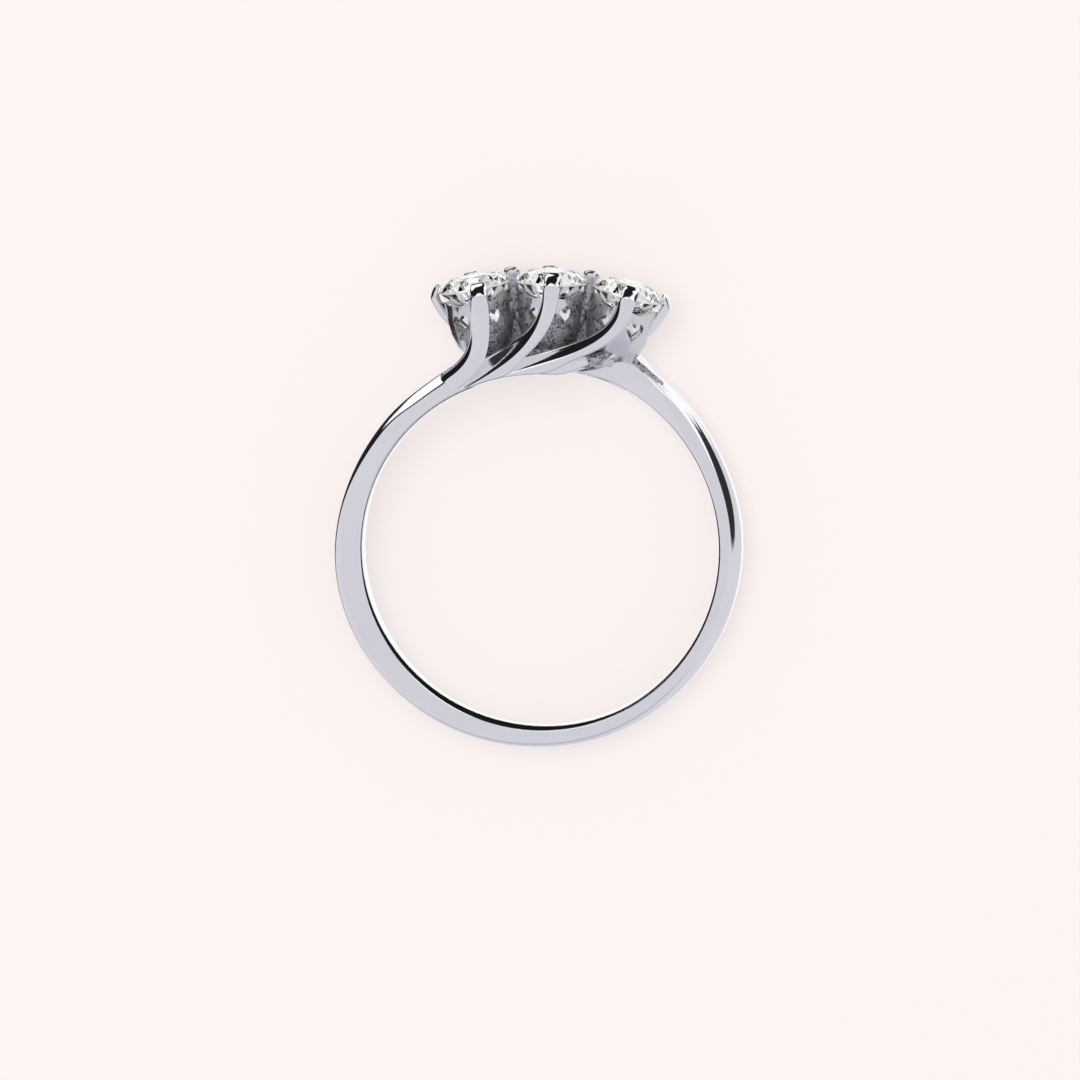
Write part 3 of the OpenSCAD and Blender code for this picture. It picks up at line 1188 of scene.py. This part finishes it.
def cast_and_shade_group() -> bpy.types.NodeTree:
    """Build the group of the grainy skin that casting leaves in the recesses.

    Returns:
        A group with a Skin mask, its Pits and a Normal, all limited by its Mask input.
        The finish paints shade into the metal's colour by the Skin, and wholly in the Pits.
    """
    group = bpy.data.node_groups.new("cast_skin_and_shade", "ShaderNodeTree")
    socket(group, "Mask", "INPUT")
    socket(group, "Normal", "INPUT", "Vector")
    socket(group, "Skin", "OUTPUT")
    socket(group, "Pits", "OUTPUT")
    socket(group, "Normal", "OUTPUT", "Vector")
    s = Shades(group)
    into, out = s.add("NodeGroupInput"), s.add("NodeGroupOutput")
    mask, place = into.outputs["Mask"], s.place()
    ragged = s.maths("SUBTRACT", s.noise(place, 5200.0, 2.0), 0.5)
    swing = s.maths("MULTIPLY", ragged, 1.1)
    skin = s.step(s.maths("ADD", mask, swing), 0.35, 0.75)
    skin = s.maths("MULTIPLY", skin, s.step(mask, 0.02, 0.2))
    grain = s.noise(place, 7600.0, 3.0, 0.65)
    share = s.maths("MAXIMUM", s.step(s.noise(place, 2600.0, 1.0), 0.36, 0.58), 0.4)
    pits = s.maths("MULTIPLY", s.step(grain, 0.66, 0.36), s.maths("MULTIPLY", skin, share))
    bump = s.add("ShaderNodeBump", Distance=0.00009)
    s.feed(bump.inputs["Strength"], skin)
    s.feed(bump.inputs["Height"], grain)
    s.feed(bump.inputs["Normal"], into.outputs["Normal"])
    s.feed(out.inputs["Skin"], skin)
    s.feed(out.inputs["Pits"], pits)
    s.feed(out.inputs["Normal"], bump.outputs[0])
    return group


@dataclass(frozen=True)
class CastShadePatch:
    """A patch of rough cast skin, darkened with painted shade, along a line, in upright
    millimetres, and its reach.
    """

    start: Place
    end: Place
    full: float
    faded: float


@dataclass(frozen=True)
class MetalFinish:
    """A metal surface between a light and a dark tone, with marks and patches of cast skin.

    The skin darkens the metal by shade towards a dark colour that stands for both the oxide in
    the recesses and painted shade there, and its pits do so wholly. The metal also gets a
    painted glow, by a given share, where it is seen through a stone.
    """

    name: str
    light: Place
    dark: Place
    roughness: Point
    grain: float
    depth: float
    patches: tuple[CastShadePatch, ...]
    shade: float
    # Dark colour of the oxide and of painted shade in the recesses.
    oxide_and_shade: Place = (0.09, 0.087, 0.09)
    cast_roughness: float = 0.42
    # Share of a painted glow where the metal is seen through a stone.
    glow_in_stone: float = 0.5

    def mask(self, s: Shades, sizes: RingSizes) -> bpy.types.NodeSocket:
        """Add the nodes that mask the patches of cast skin.

        Args:
            s: The helper that fills the material.
            sizes: The ring's sizes, which lay the patches where the piece lies.

        Returns:
            The output with the mask.
        """
        whole = None
        for patch in self.patches:
            start, end = (sizes.to_part() @ Vector(p) for p in (patch.start, patch.end))
            near = s.step(s.to_line(start, end), patch.faded * MM, patch.full * MM)
            whole = s.maths("MAXIMUM", whole, near) if whole else near
        return whole

    def material(
        self, marks: bpy.types.NodeTree, cast: bpy.types.NodeTree, sizes: RingSizes
    ) -> bpy.types.Material:
        """Build the material.

        Args:
            marks: The group of polishing marks.
            cast: The group of the cast skin.
            sizes: The ring's sizes.

        Returns:
            The finished material.
        """
        made, s = new_material(self.name)
        metal = s.add("ShaderNodeBsdfPrincipled", Metallic=1.0, Emission_Strength=1.0)
        polish = s.add("ShaderNodeGroup", node_tree=marks)
        polish.inputs["Scale"].default_value = self.grain
        polish.inputs["Depth"].default_value = self.depth
        skin = s.add("ShaderNodeGroup", node_tree=cast)
        s.feed(skin.inputs["Mask"], self.mask(s, sizes))
        s.feed(skin.inputs["Normal"], polish.outputs["Normal"])
        tone = s.blend(self.dark, self.light, polish.outputs["Tone"])
        # Painted shade: the cast skin darkens the metal's colour in the recesses, and its pits
        # darken it wholly; this also stands for the real oxide there.
        dim = s.maths("MULTIPLY", skin.outputs["Skin"], self.shade)
        dim = s.maths("MAXIMUM", skin.outputs["Pits"], dim)
        s.feed(metal.inputs["Base Color"], s.blend(tone, self.oxide_and_shade, dim))
        bright = s.ramp(polish.outputs["Marks"], (0, 1), self.roughness)
        dull = s.maths("MULTIPLY", skin.outputs["Skin"], self.cast_roughness)
        s.feed(metal.inputs["Roughness"], s.maths("MAXIMUM", bright, dull))
        s.feed(metal.inputs["Normal"], skin.outputs["Normal"])
        # Painted glow: the metal gives off light where it is seen through a stone, which brightens
        # the stones.
        path = s.add("ShaderNodeLightPath")
        seen = s.maths("MULTIPLY", path.outputs["Is Transmission Ray"], self.glow_in_stone)
        s.feed(metal.inputs["Emission Color"], seen)
        s.feed(s.add("ShaderNodeOutputMaterial").inputs["Surface"], metal.outputs[0])
        return made


POLISHED = MetalFinish(
    name="polished_metal",
    light=(0.93, 0.93, 0.94),
    dark=(0.88, 0.88, 0.9),
    roughness=(0.05, 0.11),
    grain=1.0,
    depth=0.04,
    shade=0.3,
    patches=(
        # Painted shade, with rough cast skin, in two creases of the polished metal.
        CastShadePatch((3.5, 1.0, 9.5), (5.3, 0.9, 8.05), 0.08, 0.24),
        CastShadePatch((2.2, -1.3, 9.35), (3.2, -1.3, 10.2), 0.32, 0.48),
    ),
)

CAST = MetalFinish(
    name="cast_metal",
    light=(0.86, 0.86, 0.87),
    dark=(0.74, 0.74, 0.76),
    roughness=(0.20, 0.32),
    grain=1.3,
    depth=0.2,
    shade=0.3,
    patches=(
        # Painted shade, with rough cast skin, between the claws and on the cups' walls.
        CastShadePatch((-1.9, -0.3, 11.4), (-1.5, -0.6, 9.2), 1.3, 1.7),
        CastShadePatch((1.8, -0.3, 11.4), (1.4, -0.6, 9.2), 1.3, 1.7),
        CastShadePatch((0.2, -1.2, 10.4), (0.0, -1.0, 9.4), 0.9, 1.3),
        CastShadePatch((-3.6, -0.8, 10.6), (-2.9, -0.6, 9.6), 0.6, 1.0),
    ),
)


@dataclass(frozen=True)
class StoneFinish:
    """Clear brilliant with a frosted girdle, whose frost fades between two shares of it."""

    name: str
    spoke: int
    # Strength of a painted glow on the frosted girdle.
    girdle_glow: float = 0.7
    frost_and_glow: float = 0.35
    frost_edge: Point = (0.45, 0.62)
    bend: float = 2.42

    def material(self, sizes: RingSizes) -> bpy.types.Material:
        """Build the material for the stone on this finish's spoke.

        Args:
            sizes: The ring's sizes, which say where the stone's girdle is.

        Returns:
            The finished material.
        """
        made, s = new_material(self.name)
        glass = s.add("ShaderNodeBsdfPrincipled", IOR=self.bend)
        glass.inputs["Transmission Weight"].default_value = 1.0
        glass.inputs["Base Color"].default_value = (1, 1, 1, 1)
        # Painted glow on the girdle, as strong as its frost.
        glass.inputs["Emission Strength"].default_value = self.girdle_glow
        middle = sizes.to_part() @ Vector(sizes.by_stone((0, 0, 0), self.spoke))
        up = sizes.to_part().to_3x3() @ Vector(turn((0, 0, 1), self.spoke * sizes.side_lean))
        offset = s.vector("SUBTRACT", s.place(), middle)
        height = s.vector("DOT_PRODUCT", offset, up.normalized() / MM)
        near = s.maths("ABSOLUTE", height, 0.0)
        edge = tuple(sizes.girdle_t * share for share in self.frost_edge)
        # The frost both roughens the girdle and paints a glow on it.
        frost_and_glow = s.ramp(near, edge, (self.frost_and_glow, 0.0))
        s.feed(glass.inputs["Roughness"], frost_and_glow)
        s.feed(glass.inputs["Emission Color"], frost_and_glow)
        s.feed(s.add("ShaderNodeOutputMaterial").inputs["Surface"], glass.outputs[0])
        return made


@dataclass(frozen=True)
class Card:
    """A card of the studio that the metal mirrors.

    Its middle lies at a turn about the line to the camera, from the picture's right, and at a
    tilt from that line, in degrees. It is full within the inner angle from its middle and gone
    at the outer one.
    """

    turn: float
    tilt: float
    inner: float
    outer: float
    colour: Place

    def toward(self, right: Vector, up: Vector, back: Vector) -> Vector:
        """Return the direction from the ring to the card's middle.

        Args:
            right: The picture's right.
            up: The picture's up.
            back: The direction to the camera.

        Returns:
            The unit vector to the card.
        """
        turned, tilted = math.radians(self.turn), math.radians(self.tilt)
        flat = right * math.cos(turned) + up * math.sin(turned)
        return flat * math.sin(tilted) + back * math.cos(tilted)


BLACK = (0.012, 0.012, 0.013)
LAMP_WHITE = (1.1, 1.1, 1.12)
STRONG_WHITE = (1.15, 1.15, 1.16)

# Where two of these overlap, the later one is in front.
CARDS = (
    Card(270, 72, 26, 46, (0.54, 0.54, 0.63)),
    Card(80, 160, 26, 36, (1.05, 1.05, 1.06)),
    Card(168, 128, 32, 42, (0.02, 0.02, 0.022)),
    Card(108, 90, 44, 50, BLACK),
    Card(154, 85, 34, 42, BLACK),
    Card(25, 74, 24, 30, (0.03, 0.03, 0.032)),
    Card(52, 50, 13, 18, STRONG_WHITE),
    Card(56, 82, 13, 18, STRONG_WHITE),
    Card(50, 114, 14, 20, (1.1, 1.1, 1.11)),
    Card(128, 106, 17, 22, LAMP_WHITE),
    Card(106, 108, 12, 18, LAMP_WHITE),
    Card(112, 38, 15, 21, (1.1, 1.1, 1.1)),
    Card(0, 0, 24, 29, (0.69, 0.68, 0.74)),
)


@dataclass
class Studio:
    """Floor, light and camera.

    scale_px and middle_px say how many pixels a millimetre takes and where the middle of the
    finger hole lies, in a picture of frame_px. clear_light is what the stones mirror and bend
    of the room, soft_light is what falls on dull things, and room is the light between cards.
    """

    sizes: RingSizes
    scale_px: float = 21.1
    middle_px: Point = (541.5, 549.8)
    frame_px: float = 1080.0
    distance: float = 0.6
    elevation: float = 7.5
    yaw: float = 4.5
    roll: float = 2.15
    sensor: float = 36.0
    floor_z: float = -0.001567
    floor_size: float = 3.0
    paper: Place = (0.92, 0.85, 0.833)
    paper_glow: Place = (1.004, 0.927, 0.909)
    glow_share: float = 0.62
    room: Place = (0.72, 0.71, 0.76)
    clear_light: Place = (1.15, 1.15, 1.17)
    clear_share: float = 0.85
    soft_light: Place = (0.62, 0.62, 0.62)
    cards: tuple[Card, ...] = CARDS
    flag_r: float = 0.0067
    flag_at: Point = (-0.0003, -0.0013)
    flag_lift: float = 0.00005
    lamp_at: Place = (-0.08, 0.1, 0.6)
    lamp_size: float = 0.5
    lamp_watts: float = 1.9

    def axes(self) -> tuple[Vector, Vector, Vector]:
        """Work out the camera's directions.

        Returns:
            The picture's right, its up and the direction to the camera.
        """
        e, p, r = (math.radians(a) for a in (self.elevation, self.yaw, self.roll))
        level = Vector((math.cos(p), math.sin(p), 0))
        rise = Vector((-math.sin(p) * math.sin(e), math.cos(p) * math.sin(e), math.cos(e)))
        right = level * math.cos(r) + rise * math.sin(r)
        up = rise * math.cos(r) - level * math.sin(r)
        lay = self.sizes.to_part().to_3x3() * (1 / MM)
        right, up = lay @ right, lay @ up
        return right, up, right.cross(up)

    def floor(self) -> None:
        """Lay the plain pale floor, which glows a little and isn't mirrored by the metal."""
        deselect()
        bpy.ops.mesh.primitive_plane_add(size=self.floor_size, location=(0, 0, 0))
        floor = bpy.context.object
        floor.name = "floor"
        floor.data.transform(Matrix.Translation((0, 0, self.floor_z)))
        made, s = new_material("floor_paper")
        paper, glow = s.add("ShaderNodeBsdfDiffuse"), s.add("ShaderNodeEmission", Strength=1.0)
        s.feed(paper.inputs["Color"], self.paper)
        s.feed(glow.inputs["Color"], self.paper_glow)
        both = s.add("ShaderNodeMixShader", Fac=self.glow_share)
        s.feed(both.inputs[1], paper.outputs[0])
        s.feed(both.inputs[2], glow.outputs[0])
        s.feed(s.add("ShaderNodeOutputMaterial").inputs["Surface"], both.outputs[0])
        floor.visible_glossy = False
        floor.data.materials.append(made)

    def flag(self) -> None:
        """Lay a black card on the floor in the finger hole, which only the metal mirrors."""
        deselect()
        bpy.ops.mesh.primitive_circle_add(
            vertices=64, radius=self.flag_r, fill_type="NGON", location=(0, 0, 0)
        )
        flag = bpy.context.object
        flag.name = "flag"
        place = (*self.flag_at, self.floor_z + self.flag_lift)
        flag.data.transform(Matrix.Translation(place))
        made, s = new_material("flag_black")
        dull = s.add("ShaderNodeBsdfDiffuse", Color=(0.01, 0.01, 0.01, 1))
        s.feed(s.add("ShaderNodeOutputMaterial").inputs["Surface"], dull.outputs[0])
        flag.data.materials.append(made)
        flag.visible_camera = flag.visible_diffuse = flag.visible_transmission = False
        flag.visible_shadow = False

    def sky(self) -> None:
        """Light the scene with the studio's soft cards."""
        world = bpy.data.worlds.new("studio")
        bpy.context.scene.world = world
        world.use_nodes = True
        world.node_tree.nodes.clear()
        s = Shades(world.node_tree)
        around = s.add("ShaderNodeTexCoord").outputs["Generated"]
        light = self.room
        for card in self.cards:
            cosine = s.vector("DOT_PRODUCT", around, card.toward(*self.axes()))
            outer, inner = (math.cos(math.radians(a)) for a in (card.outer, card.inner))
            light = s.blend(light, card.colour, s.step(cosine, outer, inner))
        path = s.add("ShaderNodeLightPath").outputs
        clear = s.maths("MULTIPLY", path["Is Transmission Ray"], self.clear_share)
        light = s.blend(light, self.clear_light, clear)
        light = s.blend(light, self.soft_light, path["Is Diffuse Ray"])
        light = s.blend(light, self.paper_glow, path["Is Camera Ray"])
        glow = s.add("ShaderNodeBackground", Strength=1.0)
        s.feed(glow.inputs["Color"], light)
        s.feed(s.add("ShaderNodeOutputWorld").inputs["Surface"], glow.outputs[0])

    def lamp(self) -> None:
        """Hang the wide soft lamp that lights the floor and stays out of the reflections."""
        light = bpy.data.lights.new("wide_lamp", "AREA")
        light.shape, light.size, light.energy = "DISK", self.lamp_size, self.lamp_watts
        light.color = (1.0, 0.995, 0.985)
        lamp = bpy.data.objects.new("wide_lamp", light)
        bpy.context.collection.objects.link(lamp)
        lamp.location = self.lamp_at
        lamp.rotation_euler = (-Vector(self.lamp_at)).to_track_quat("-Z", "Y").to_euler()
        lamp.visible_glossy = False
        lamp.visible_camera = False

    def camera(self) -> None:
        """Place the camera at the photograph's angle, with a long lens."""
        right, up, back = self.axes()
        dx = (self.frame_px / 2 - self.middle_px[0]) / self.scale_px * MM
        dy = (self.middle_px[1] - self.frame_px / 2) / self.scale_px * MM
        aim = right * dx + up * dy
        view = bpy.data.cameras.new("camera")
        width = self.frame_px / self.scale_px * MM
        view.sensor_width = self.sensor
        view.lens = self.sensor * self.distance / width
        view.clip_start, view.clip_end = 0.01, 10
        camera = bpy.data.objects.new("camera", view)
        bpy.context.collection.objects.link(camera)
        turned = Matrix((right, up, back)).transposed().to_4x4()
        camera.matrix_world = Matrix.Translation(aim + back * self.distance) @ turned
        bpy.context.scene.camera = camera


@dataclass
class RingMount:
    """The soldered metal of the ring, dressed over its CAD solid."""

    sizes: RingSizes
    smooth_angle: float = 35.0

    def polished(self) -> list[bpy.types.Object]:
        """Build the band and the claws that fan out of it, upright and in millimetres.

        Returns:
            The polished bodies.
        """
        work = Metalwork(self.sizes)
        front = [work.claw(c) for c in CLAWS]
        return [work.shank(), *front, *[self.turned(c) for c in front]]

    def cast(self) -> list[bpy.types.Object]:
        """Build the middle claws, the rail and the cups, upright and in millimetres.

        Returns:
            The bodies that keep their cast skin.
        """
        work = Metalwork(self.sizes)
        bodies = [work.mid_claw(), work.leg(), work.web()]
        bodies += [self.turned(c) for c in bodies]
        bodies.append(Gallery(self.sizes).build())
        cup = Cup(self.sizes).build()
        bodies += [self.fanned(self.copy(cup), spoke) for spoke in (-1, 1)]
        bodies.append(self.fanned(cup, 0))
        return bodies

    def copy(self, obj: bpy.types.Object) -> bpy.types.Object:
        """Make a copy of a body with its own mesh.

        Args:
            obj: The body.

        Returns:
            The copy.
        """
        twin = obj.copy()
        twin.data = obj.data.copy()
        bpy.context.collection.objects.link(twin)
        return twin

    def turned(self, obj: bpy.types.Object) -> bpy.types.Object:
        """Make a copy of a body, turned by half a circle about the ring's upright.

        Args:
            obj: The body.

        Returns:
            The turned copy.
        """
        twin = self.copy(obj)
        twin.matrix_world = Matrix.Rotation(math.pi, 4, "Z")
        activate(twin)
        bpy.ops.object.transform_apply(location=True, rotation=True, scale=True)
        return twin

    def fanned(self, obj: bpy.types.Object, spoke: int) -> bpy.types.Object:
        """Place a cup under the stone on one spoke of the fan.

        Args:
            obj: The cup.
            spoke: The stone, -1, 0 or 1 from left to right.

        Returns:
            The same cup.
        """
        s = self.sizes
        lean = Matrix.Rotation(math.radians(spoke * s.side_lean), 4, "Y")
        foot = Matrix.Translation((0, 0, s.girdle_z - s.fan_r))
        obj.matrix_world = foot @ lean @ Matrix.Translation((0, 0, s.fan_r))
        activate(obj)
        bpy.ops.object.transform_apply(location=True, rotation=True, scale=True)
        return obj

    def join(self, name: str, parts: list[bpy.types.Object]) -> bpy.types.Object:
        """Join bodies of one finish and lay them where the CAD solid lies.

        Args:
            name: The name of the finished piece.
            parts: The bodies to join.

        Returns:
            The finished piece, with its object at the origin.
        """
        deselect()
        for part in parts:
            part.select_set(True)
        bpy.context.view_layer.objects.active = parts[0]
        bpy.ops.object.join()
        piece = bpy.context.object
        piece.name = piece.data.name = name
        piece.matrix_world = self.sizes.to_part()
        bpy.ops.object.transform_apply(location=True, rotation=True, scale=True)
        bpy.ops.object.shade_smooth_by_angle(angle=math.radians(self.smooth_angle))
        return piece

    def dress(
        self, name: str, parts: list[bpy.types.Object], finish: bpy.types.Material
    ) -> None:
        """Join bodies to one piece, give it its finish and put it in the solid's stead.

        Args:
            name: The name of the finished piece.
            parts: The bodies to join.
            finish: The piece's material.
        """
        piece = self.join(name, parts)
        piece.data.materials.clear()
        piece.data.materials.append(finish)
        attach(piece, "root")
        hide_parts("ring_mount")
        LOG.info("%s: %d faces", piece.name, len(piece.data.polygons))


@dataclass
class Stones:
    """The three stones, which keep their CAD meshes."""

    sizes: RingSizes
    nodes: tuple[str, ...] = ("stone_left", "stone_middle", "stone_right")

    def dress(self) -> None:
        """Give each stone its clear finish."""
        for spoke, node in enumerate(self.nodes, -1):
            finish = StoneFinish(f"{node}_clear", spoke)
            bpy.data.objects[node].material_slots[0].material = finish.material(self.sizes)
            LOG.info("%s: clear stone", node)


def main() -> None:
    """Build the ring and its studio, and report each piece."""
    logging.basicConfig(level=logging.INFO, format="%(name)s: %(message)s")
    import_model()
    sizes = RingSizes()
    studio = Studio(sizes)
    studio.camera()
    studio.floor()
    studio.flag()
    studio.sky()
    studio.lamp()
    marks, skin = polish_group(), cast_and_shade_group()
    mount = RingMount(sizes)
    mount.dress("ring_metal", mount.polished(), POLISHED.material(marks, skin, sizes))
    mount.dress("ring_cups", mount.cast(), CAST.material(marks, skin, sizes))
    Stones(sizes).dress()
    bpy.context.scene.view_settings.view_transform = "Standard"


if __name__ == "__main__":
    main()
